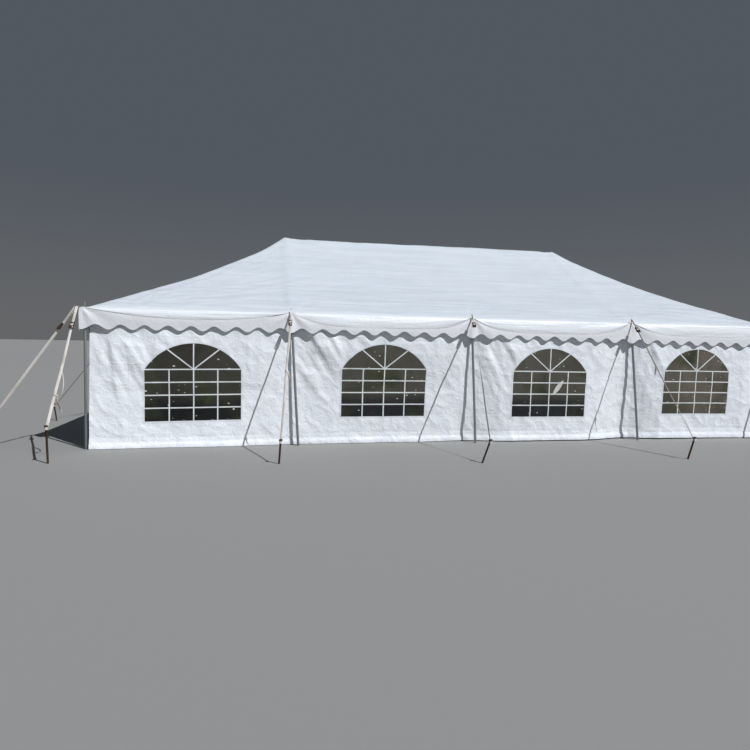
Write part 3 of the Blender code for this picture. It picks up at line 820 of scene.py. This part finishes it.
def wall_lift(place, height, half, word):
    """How far a wall's cloth stands out of its plain hanging plane."""
    kinds = bay_kinds[word]
    seed = 30 + 5 * list(bay_kinds).index(word)
    spacing = 2 * half / len(kinds)
    # Hollows over a metre wide, smaller ones, sharp creases and crumples
    lift = 0.014 * hills(place * 0.9, height * 0.7, seed) + 0.006 * hills(place * 3.1, height * 2.3, seed + 1)
    lift = lift + 0.007 * (creases(place * 3.4, height * 3.0, seed + 2) - 0.3)
    lift = lift + 0.003 * hills(place * 8.5, height * 8.0, seed + 3)
    for index, kind in enumerate(kinds):
        middle = -half + spacing * (index + 0.5)
        for start, top_end, end, low_end, *form in bay_folds[kind]:
            lift = lift + fold(place, height, middle + start, top_end, middle + end, low_end, *form)
        for turn_way, deep in zip((1, -1), bay_drags[kind]):
            # Drag folds lean towards the window, steep and a hand's breadth apart
            off = turn_way * (place - middle)
            across = 0.88 * off + 0.47 * height
            along = 0.47 * off - 0.88 * height
            field = hills(across * 5.2, along * 0.75, seed + 7 + index)
            field = field + 0.5 * hills(across * 11, along * 1.3, seed + 8)
            reach = hump(off, -0.98, 0.42) * unit((height - 0.75) / 0.7)
            lift = lift + deep * field * reach
    # The foot has a welded pocket a hand high, with a shallow groove over it
    lift = lift + 0.006 * hump(height, 0.045, 0.035)
    lift = lift - 0.006 * hump(height, 0.105, 0.022)
    hem = unit(1 - height / hem_height)
    loose = 0.6 + 0.4 * hills(place * 0.8, 0 * place, seed + 4)
    lift = lift + hem_flare * hem * loose - 0.006 * hump(height, hem_height, 0.02) * loose
    from_pole = np.abs((place + half + spacing / 2) % spacing - spacing / 2)
    # Between the poles the wall's head bellies out towards the valance
    index = np.clip(((place + half) / spacing).astype(int), 0, len(kinds) - 1)
    spread, belly = np.array(bay_bellies)[np.array(kinds)[index]].T
    start = np.where(spread > 0, 0.2, 0.9)
    full = unit((height - start) / (1.8 - start))
    lift = lift + unit(from_pole / 0.5) * (spread + belly * full * (2 - full))
    return np.minimum(lift, 0.012 + 0.3 * from_pole)


def hang_wall(word, lift, place, height):
    """Where a wall's cloth hangs, and what is sewn to it at a lift above it."""
    half, other_half, turn = sides[word][:3]
    spots, stands_in, slides, lower, raised = np.array(foot_table[word]).T
    down = 1 - height / wall_top
    across = place - np.interp(place, spots, slides) * unit(down / 0.25)
    out = other_half - wall_inset + wall_lift(place, height, half, word) + lift
    out = out - np.interp(place, spots, stands_in) * down ** 1.4
    near = valance_out(word, place, height) - valance_gap
    out = out - unit((height - 1.60) / 0.12) * np.maximum(out - near, 0)
    level = height - wall_clip_drop * unit((height - 1.8) / 0.3)
    level = level - np.interp(place, spots, lower) * unit(height / 0.3) * unit(down / 0.1)
    level = level + np.interp(place, spots, raised) * (1 - unit(height / 0.6))
    return turned(across, out, level, turn)


def window_edge(centre, grow):
    """The window's outline: straight sides under an arc, grown by a margin."""
    half = window_width / 2
    radius = (half ** 2 + window_rise ** 2) / (2 * window_rise)
    middle = window_sill + window_side + window_rise - radius
    reach = half + grow
    start = math.acos(min(reach / (radius + grow), 1.0))
    outline = [(centre - reach, window_sill - grow), (centre + reach, window_sill - grow)]
    for step in range(25):
        angle = start + (math.pi - 2 * start) * step / 24
        up = middle + (radius + grow) * math.sin(angle)
        outline.append((centre + (radius + grow) * math.cos(angle), up))
    return outline


# Painted light: the walls' cloth is painted whiter than the top's, for the weaker light on them
wall_cloth = coated_cloth("coated_polyester_wall", "#f2f6fa", "#eaeff5", 0.42, 0.013, creased=0.0016)
panels = {
    "front": (("front_wall_left", -long_wall, -panel_gap), ("front_wall_right", panel_gap, long_wall)),
    "back": (("back_wall_right", -long_wall, -panel_gap), ("back_wall_left", panel_gap, long_wall)),
    "left": (("left_wall", -short_wall, short_wall),),
    "right": (("right_wall", -short_wall, short_wall),),
}
window_spots = {}
for word, ends in panels.items():
    half = sides[word][0]
    spacing = 2 * half / len(bay_kinds[word])
    first = -half + spacing / 2 + window_asides[word]
    window_spots[word] = [first + spacing * index for index in range(len(bay_kinds[word]))]
    for node, start, end in ends:
        outline = [(start, wall_foot), (end, wall_foot), (end, wall_top), (start, wall_top)]
        holes = [window_edge(spot, 0.0) for spot in window_spots[word] if start < spot < end]
        wall, area = hang_cut(
            f"wall_cloth_{node}", [outline], holes, front_wall_step if word == "front" else other_wall_step,
            partial(hang_wall, word, 0.0), wall_thickness, wall_cloth, "wall_fabric",
        )
        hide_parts(node)

# The windows are clear vinyl sewn behind the openings, with a folded border on the outside and
# white tape bars glued on in the pattern of panes. The vinyl is scuffed a little; its colour carries painted
# shade, reflections and glints.
pane_thickness = 0.0008
pane_seam = 0.012
border_width = 0.026
bar_width = 0.019
bar_lap = 0.01
bar_rows = 4
bar_row_height = 0.2
# How far the fan's slanted bars reach aside and up from its foot
fan_reach = (0.415, 0.33)

clear_vinyl, add, shader = new_material("clear_vinyl_pane")
where = add("TexCoord")
cut = where.outputs["UV"]
scuff = add("TexNoise", Vector=cut, Scale=3.0, Detail=8.0)
haze = add("MapRange", Value=scuff, From_Min=0.45, From_Max=0.75, To_Min=0.62, To_Max=0.78)
# Painted shade: the film is painted dark for the shaded inside of the tent seen through it, and mixed lighter
# towards the arch
up = add("SeparateXYZ", cut)
towards_arch = add("MapRange", Value=up.outputs["Y"], From_Min=0.62, From_Max=0.95, interpolation_type="SMOOTHSTEP")
film = add("Mix", Factor=towards_arch, A="#212226", B="#56534a", data_type="RGBA")
# The panes towards the right end of a side are mixed towards brown
browner_right = add("MapRange", Value=up.outputs["X"], From_Min=3.2, From_Max=4.4, To_Max=0.8)
film = add("Mix", Factor=browner_right, A=film, B="#6b6359", data_type="RGBA")
# Painted shade: the panes are painted darker towards the left end, for the darkest corner of the inside
# behind the first window, and lighter towards the right
painted_inside_shade = add("MapRange", Value=up.outputs["X"], From_Min=-4.6, From_Max=-1.6, To_Min=0.55, To_Max=1.25)
film = add("Mix", Factor=1.0, A=film, B=painted_inside_shade, data_type="RGBA", blend_type="MULTIPLY")
# Painted reflection: olive patches of the greenery around the tent, mixed into the film
reflection_patches = add("TexNoise", Vector=cut, Scale=1.6, Detail=2.0)
reflection_share = add("MapRange", Value=reflection_patches, From_Min=0.5, From_Max=0.7)
reflecting_film = add("Mix", Factor=reflection_share, A=film, B="#40452f", data_type="RGBA")
# Painted glints: pale flecks in clusters, each up to 4 cm long, where crinkles in the vinyl catch the light
spread = add("Mapping", Vector=cut, Scale=(1.0, 2.0, 1.0))
dots = add("TexVoronoi", Vector=spread, Scale=12.0)
dot_size = add("SeparateColor", dots.outputs["Color"])
cluster = add("TexNoise", Vector=cut, Scale=2.6, Detail=2.0)
dot_limit = add("Math", cluster, 0.5, -0.565, operation="MULTIPLY_ADD")
dot_edge = add("Math", dot_size, 0.5, dot_limit, operation="MULTIPLY_ADD")
painted_glint = add("Math", dots, dot_edge, operation="LESS_THAN")
# One pale leaf-shaped mark, 0.34 m long, crosses the front's third window
leaf = add("Mapping", Vector=cut, Location=(1.729, 0.955, 0.0), Rotation=(0.0, 0.0, 0.92),
           Scale=(0.17, 0.042, 1.0), vector_type="TEXTURE")
leaf_parts = add("SeparateXYZ", leaf)
leaf_long = add("Math", leaf_parts.outputs["X"], 2.0, operation="POWER")
leaf_wide = add("Math", leaf_parts.outputs["Y"], operation="ABSOLUTE")
leaf_edge = add("Math", leaf_long, leaf_wide, operation="ADD")
in_leaf = add("Math", leaf_edge, 1.0, operation="LESS_THAN")
here = add("SeparateXYZ", where.outputs["Object"])
on_front = add("Math", here.outputs["Y"], -2.5, operation="LESS_THAN")
leaf_mark = add("Math", in_leaf, on_front, operation="MULTIPLY")
# The painted glints and the leaf mark are mixed in pale, and made solid
glints_and_leaf = add("Math", painted_glint, leaf_mark, operation="MAXIMUM")
marked_film = add("Mix", Factor=glints_and_leaf, A=reflecting_film, B="#d3d4ce", data_type="RGBA")
solid = add("Math", haze, glints_and_leaf, operation="MAXIMUM")
ripple = add("TexNoise", Vector=cut, Scale=5.0, Detail=3.0, Distortion=1.2)
bent = add("Bump", Height=ripple, Strength=0.5, Distance=0.006)
feed(shader, Base_Color=marked_film, Alpha=solid, Normal=bent, Roughness=0.12, IOR=1.53)

bar_tape = coated_cloth("white_vinyl_tape", "#e6eaea", "#d8dddd", 0.5, 0.0006)
border_tape = coated_cloth("folded_window_border", "#e6ebf0", "#dfe4ea", 0.45, 0.0008)


def strip(start, end):
    """The outline of a straight bar between two points of the flat cut."""
    start = np.array(start)
    end = np.array(end)
    aside = (end - start)[::-1] * (-1, 1) / np.linalg.norm(end - start) * bar_width / 2
    return [start + aside, start - aside, end - aside, end + aside]


half = window_width / 2
spring = window_sill + window_side
for word, spots in window_spots.items():
    # Windows are numbered along X or Y, so those of the back and the left end come the other way round
    order = -1 if word in ("back", "left") else 1
    for number, spot in enumerate(spots[::order], 1):
        bars = []
        for row in range(bar_rows):
            level = spring - bar_row_height * row
            bars.append(strip((spot - half - bar_lap, level), (spot + half + bar_lap, level)))
        for way in (-1, 1):
            across = spot + way * half / 2
            bars.append(strip((across, window_sill - bar_lap), (across, spring)))
            bars.append(strip((spot, spring), (spot + way * fan_reach[0], spring + fan_reach[1])))
        bars.append(strip((spot, window_sill - bar_lap), (spot, spring + window_rise + 0.008)))
        rim = [window_edge(spot, border_width * 0.8)]
        inside = [window_edge(spot, -border_width * 0.2)]
        sheet = [window_edge(spot, pane_seam)]
        # Each layer's outlines, holes, step, lift off the wall's outside, thickness and material
        layers = (
            ("pane_bars", bars, [], 0.030, -0.0014, 0.0014, bar_tape, "wall_fabric"),
            ("window_border", rim, inside, border_width, 0.0018, 0.0016, border_tape, "wall_fabric"),
            ("vinyl_pane", sheet, [], 0.040, -0.003, pane_thickness, clear_vinyl, "clear_vinyl"),
        )
        for kind, outlines, holes, step, lift, *finish in layers:
            hang = partial(hang_wall, word, lift)
            hang_cut(f"{kind}_{word}_{number}", outlines, holes, step, hang, *finish)
        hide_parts(f"window_{word}_{number}")

# A guy runs out from each pole: a forged ring over the pin, a polyester webbing strap with a
# ratchet on it, and a loop round a driven steel stake. The corner poles have two.
ring_level = eave_height + 0.055
ring_radius = 0.022
ring_bar = 0.0045
ring_steps = 24
ring_bar_sides = 10
strap_width = 0.038
strap_thickness = 0.0028
ratchet_length = 0.11
stake_radius = 0.014
stake_lean = 0.05
strap_drop = 0.045
# For each pole along the front and along an end: how far its stake stands to the right and out, how
# high its head is, how far it leans aside, how far down the strap its ratchet, its knot and the start
# of its spare loop are, and how far the strap has turned out of its flat
front_stakes = (
    (-0.19, 0.99, 0.52, 0.00, 0.26, 1.42, 1.03, 0.0), (-0.21, 1.33, 0.35, 0.02, 0.20, 1.16, 0.0, 0.4),
    (-0.39, 1.59, 0.35, 0.10, 0.16, 0.0, 0.0, -1.6), (-0.11, 1.66, 0.35, 0.06, 0.18, 0.96, 0.0, -1.2),
    (0.25, 1.45, 0.40, 0.00, 0.40, 1.20, 0.0, -0.65),
)
end_stakes = (
    (0.0, 1.30, 0.42, 0.0, 0.30, 0.0, 0.0, 1.0), (0.12, 1.45, 0.35, 0.0, 0.40, 0.95, 0.0, 0.7),
    (0.0, 1.30, 0.38, 0.0, 0.30, 0.0, 0.0, 1.0),
)
tail_length = 0.24
tail_width = strap_width * 0.8
upward = Vector((0, 0, 1))

# Polyester webbing: cream, with a 2 mm rib across it, dirtier in patches
webbing, add, shader = new_material("polyester_webbing")
where = add("TexCoord")
soil = add("TexNoise", Vector=where.outputs["Object"], Scale=6.0, Detail=6.0)
dirt = add("MapRange", Value=soil, From_Min=0.4, From_Max=0.7)
yarn = add("Mix", Factor=dirt, A="#ddd8d2", B="#c2bab0", data_type="RGBA")
rib = add("TexWave", Vector=where.outputs["UV"], Scale=157.0, bands_direction="Y")
ribbed = add("Bump", Height=rib.outputs["Fac"], Strength=0.6, Distance=0.0004)
feed(shader, Base_Color=yarn, Normal=ribbed, Roughness=0.8)

# Driven stakes and ratchets: bare steel gone dark brown with rust, rough, with lighter scabs
rusted, add, shader = new_material("rusted_steel")
where = add("TexCoord")
scab = add("TexNoise", Vector=where.outputs["Object"], Scale=90.0, Detail=6.0)
rust = add("ValToRGB", scab)
for element, (position, colour) in zip(rust.color_ramp.elements, ((0.35, "#2c211d"), (0.7, "#6b4634"))):
    element.position = position
    element.color = linear(colour)
pits = add("Bump", Height=scab, Strength=0.6, Distance=0.0012)
feed(shader, Base_Color=rust, Normal=pits, Roughness=0.78, Metallic=0.3)

# A band's section, from its left edge: as shares of its width and its thickness
band_section = ((-0.5, 0.0), (-0.44, -0.5), (0.44, -0.5), (0.5, 0.0), (0.44, 0.5), (-0.44, 0.5))


def make_webbing(name, path, across, width=strap_width, thickness=strap_thickness):
    """A closed flat band of webbing along a path, wide along a direction, or along one for each point."""
    points = []
    marks = []
    run = 0.0
    for index, point in enumerate(path):
        before = path[max(index - 1, 0)]
        after = path[min(index + 1, len(path) - 1)]
        along = (after - before).normalized()
        wide = across[index] if isinstance(across, list) else across
        wide = (wide - along * wide.dot(along)).normalized()
        out = wide.cross(along)
        run += (point - before).length
        for side, lift in band_section:
            points.append(point + wide * side * width + out * lift * thickness)
            marks.append((side * width, run))
    count = len(band_section)
    last = (len(path) - 1) * count
    faces = [list(range(count))]
    for start in range(0, last, count):
        for step in range(count):
            after = (step + 1) % count
            faces.append([start + after, start + step, start + step + count, start + after + count])
    faces.append(list(range(last + count - 1, last - 1, -1)))
    piece = make_piece(name, points, faces, webbing, "guy_webbing")
    weave = piece.data.uv_layers.new(name="weave")
    for loop in piece.data.loops:
        weave.data[loop.index].uv = marks[loop.vertex_index]
    shade_round(piece, 50.0)
    return piece


def merge(parts):
    """Points and faces of several closed solids as one list."""
    points = []
    faces = []
    for part_points, part_faces in parts:
        faces += [[index + len(points) for index in face] for face in part_faces]
        points += part_points
    return points, faces


def plate(start, end, across, width, thickness):
    """A flat plate between two points, wide along a direction."""
    along = (end - start).normalized()
    out = across.cross(along).normalized()
    corners = []
    for point in (start, end):
        for side, lift in ((-1, -1), (1, -1), (1, 1), (-1, 1)):
            corners.append(point + across * side * width / 2 + out * lift * thickness / 2)
    faces = [[0, 1, 2, 3], [7, 6, 5, 4]]
    faces += [[step + 4, (step + 1) % 4 + 4, (step + 1) % 4, step] for step in range(4)]
    return corners, faces


def rod(start, end, radius, sides=14):
    """A round bar between two points, with chamfered ends."""
    length = (end - start).length
    soft = min(radius * 0.2, length * 0.1)
    profile = [(0.0, 0.0), (radius - soft, 0.0), (radius, soft)]
    profile += [(radius, length - soft), (radius - soft, length), (0.0, length)]
    points, faces = lathe(profile, sides)
    aim = (end - start).to_track_quat("Z", "Y").to_matrix()
    return [start + aim @ point for point in points], faces


def make_ratchet(name, place, aim, level):
    """A ratchet on a strap: its plates, rods and handle of steel, and the roll of webbing in it."""
    lift = level.cross(aim)
    far = place + aim * ratchet_length

    def crossing(base, at, half, off, radius, sides=14):
        """A rod across the strap, from how far along and off the strap it lies."""
        middle = base + aim * at
        return rod(middle - level * half + lift * off, middle + level * half + lift * off, radius, sides)

    # On each side a plate of the frame, and outside it an arm of the handle
    parts = []
    for side in (-1, 1):
        edge = level * side * 0.024
        parts.append(plate(place + edge + lift * 0.004, far + edge + lift * 0.004, lift, 0.026, 0.0025))
        handle = level * side * 0.028
        near_end = place + aim * 0.045 + handle + lift * 0.012
        parts.append(plate(near_end, far + aim * 0.012 + handle + lift * 0.018, lift, 0.018, 0.0022))
    # The spool, the bolt at the near end, the handle's grip and the frame's floor
    parts.append(crossing(place, 0.055, 0.029, 0.006, 0.008))
    parts.append(crossing(place, 0.012, 0.026, 0.0, 0.005))
    parts.append(crossing(far, 0.008, 0.031, 0.018, 0.007))
    parts.append(plate(place + aim * 0.004 - lift * 0.004, far - lift * 0.004, level, 0.042, 0.012))
    make_piece(f"ratchet_{name}", *merge(parts), rusted, "galvanised_steel")
    roll = crossing(place, 0.055, 0.019, 0.006, 0.016, 20)
    shade_round(make_piece(f"wound_webbing_{name}", *roll, webbing, "guy_webbing"))


def make_stake(name, foot, head, height):
    """A driven stake: a round bar whose head has mushroomed under the hammer."""
    # Rings of the head, each by its radius and how far it lies under the top
    cap = ((stake_radius, 0.032), (stake_radius * 1.5, 0.026), (0.0245, 0.02), (0.025, 0.008), (0.021, 0.001))
    profile = [(0.0, 0.0), (stake_radius, 0.0)]
    profile += [(radius, height - drop) for radius, drop in cap] + [(0.0, height)]
    points, faces = lathe(profile, 20)
    slant = (head - foot) / height
    points = [foot + Vector((point.x, point.y, 0)) + slant * point.z for point in points]
    shade_round(make_piece(f"stake_{name}", points, faces, rusted, "galvanised_steel"), 50.0)


def make_knot(name, knot, aim, level, along, out):
    """A knot tied round a strap, and the tail that hangs from it."""
    lift = level.cross(aim)
    coil = []
    for step in range(25):
        turn = step / 24 * 2 * math.pi * 1.6
        beside = knot + level * 0.012 * math.cos(turn) + lift * 0.012 * math.sin(turn)
        coil.append(beside + aim * (step / 24 - 0.5) * 0.03)
    make_webbing(f"knot_{name}", coil, aim, 0.016, 0.006)
    path = []
    for step in range(13):
        share = step / 12
        aside = along * (0.02 + 0.05 * share) + out * (0.02 * math.sin(share * 5))
        path.append(knot + aside - upward * (share * tail_length))
    tail = make_webbing(f"strap_tail_{name}", path, along + out * 0.4, tail_width)


def make_bight(name, high, low, along, out):
    """A bight of spare webbing that droops beside its strap between two hitches."""
    pulls = (high, high + along * 0.07 - upward * 0.18, low + along * 0.124 - upward * 0.093, low)
    bight = []
    for step in range(25):
        t = step / 24
        weights = ((1 - t) ** 3, 3 * t * (1 - t) ** 2, 3 * t ** 2 * (1 - t), t ** 3)
        point = sum((weight * pull for weight, pull in zip(weights, pulls)), Vector())
        bight.append(point + out * 0.03 * math.sin(t * math.pi))
    spare = make_webbing(f"strap_spare_{name}", bight, out, tail_width)


def make_guy(name, node, x, y, ring_middle, out, stake):
    """One guy run from its ring: the strap, ratchet, stake, knot and spare webbing."""
    aside, reach, stake_height, lean, ratchet_at, knot_at, loop_at, turned_out = stake
    along = Vector((abs(out.y), abs(out.x), 0.0))
    foot = Vector((x, y, 0.0)) + out * reach + along * aside
    head = foot + out * stake_lean + along * lean + upward * stake_height
    start = ring_middle + out * ring_radius
    end = head - upward * strap_drop - out * stake_radius
    aim = (end - start).normalized()
    level = aim.cross(upward).normalized()
    length = (end - start).length
    steps = int(length / 0.05)
    # It sways a little aside, and turns in its length
    path = []
    acrosses = []
    for step in range(steps + 1):
        share = step / steps
        sway = 0.004 * math.sin(share * 9 + x) * math.sin(share * math.pi)
        path.append(start + aim * length * share + level * sway)
        twist = turned_out * (1 + 0.15 * math.sin(share * math.pi * 2 + x * 3 + y))
        twist += 0.1 * math.sin(share * 5 + x)
        acrosses.append(level * math.cos(twist) + aim.cross(level) * math.sin(twist))
    strap = make_webbing(f"strap_{name}", path, acrosses)
    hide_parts(node)

    # The loop round the stake under its head, and the doubled end at the ring
    turns = [2 * math.pi * step / 20 for step in range(21)]
    centre = head - upward * strap_drop
    loop = [centre + Vector((math.cos(turn), math.sin(turn), 0)) * (stake_radius + 0.004) for turn in turns]
    sewn = [start - out * 0.012 + upward * 0.006, start + upward * 0.004]
    sewn += [start + aim * 0.05, start + aim * 0.11]
    for part, band_path, wide in (("loop", loop, upward), ("sewn_end", sewn, level)):
        make_webbing(f"strap_{part}_{name}", band_path, wide, strap_width * 0.9, strap_thickness * 2.2)
    make_ratchet(name, start + aim * ratchet_at, aim, level)
    make_stake(name, foot, head, stake_height)
    if knot_at:
        make_knot(name, start + aim * knot_at, aim, level, along, out)
    if loop_at:
        make_bight(name, start + aim * loop_at, start + aim * knot_at, along, out)


for number, (x, y) in side_spots.items():
    node = f"guy_{number:02d}"
    column = round((x + half_length) / bay)
    row = round((y + half_width) / half_width)
    ring_middle = Vector((x, y, ring_level))
    if column in (0, 4) and row in (0, 2):
        # At a corner the ring is sewn to a webbing patch and stands just past the cloth
        way_x = math.copysign(1, x)
        way_y = math.copysign(1, y)
        tip = corner_draw(np.array([x + way_x * eave_pad, y + way_y * eave_pad, eave_height]))
        ring_middle = Vector(tip) + Vector((way_x * 0.016, way_y * 0.012, 0.002))
        inwards = Vector((x, y, eave_height)) - ring_middle
        patch = [ring_middle + inwards * (step / 6) + Vector((0, 0, 0.009)) for step in range(7)]
        wide = Vector((-way_x * 0.6, way_y * 0.8, 0))
        make_webbing(f"corner_webbing_{number:02d}", patch, wide, 0.045, 0.003)
    points = []
    faces = []
    for step, (x_share, y_share) in enumerate(circle(ring_steps)):
        outward = Vector((x_share, y_share, 0))
        middle = ring_middle + outward * (ring_radius - ring_bar)
        first = step * ring_bar_sides
        above = (step + 1) % ring_steps * ring_bar_sides
        for corner, (out_share, up_share) in enumerate(circle(ring_bar_sides)):
            points.append(middle + (outward * out_share + upward * up_share) * ring_bar)
            after = (corner + 1) % ring_bar_sides
            faces.append([first + corner, above + corner, above + after, first + after])
    ring = make_piece(f"guy_ring_{number:02d}", points, faces, galvanised, "galvanised_steel")
    shade_round(ring, 60.0)
    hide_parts(node)
    if row in (0, 2):
        out = Vector((0, row - 1, 0))
        make_guy(f"{number:02d}_side", node, x, y, ring_middle, out, front_stakes[column])
    if column in (0, 4):
        out = Vector((column / 2 - 1, 0, 0))
        make_guy(f"{number:02d}_end", node, x, y, ring_middle, out, end_stakes[row])
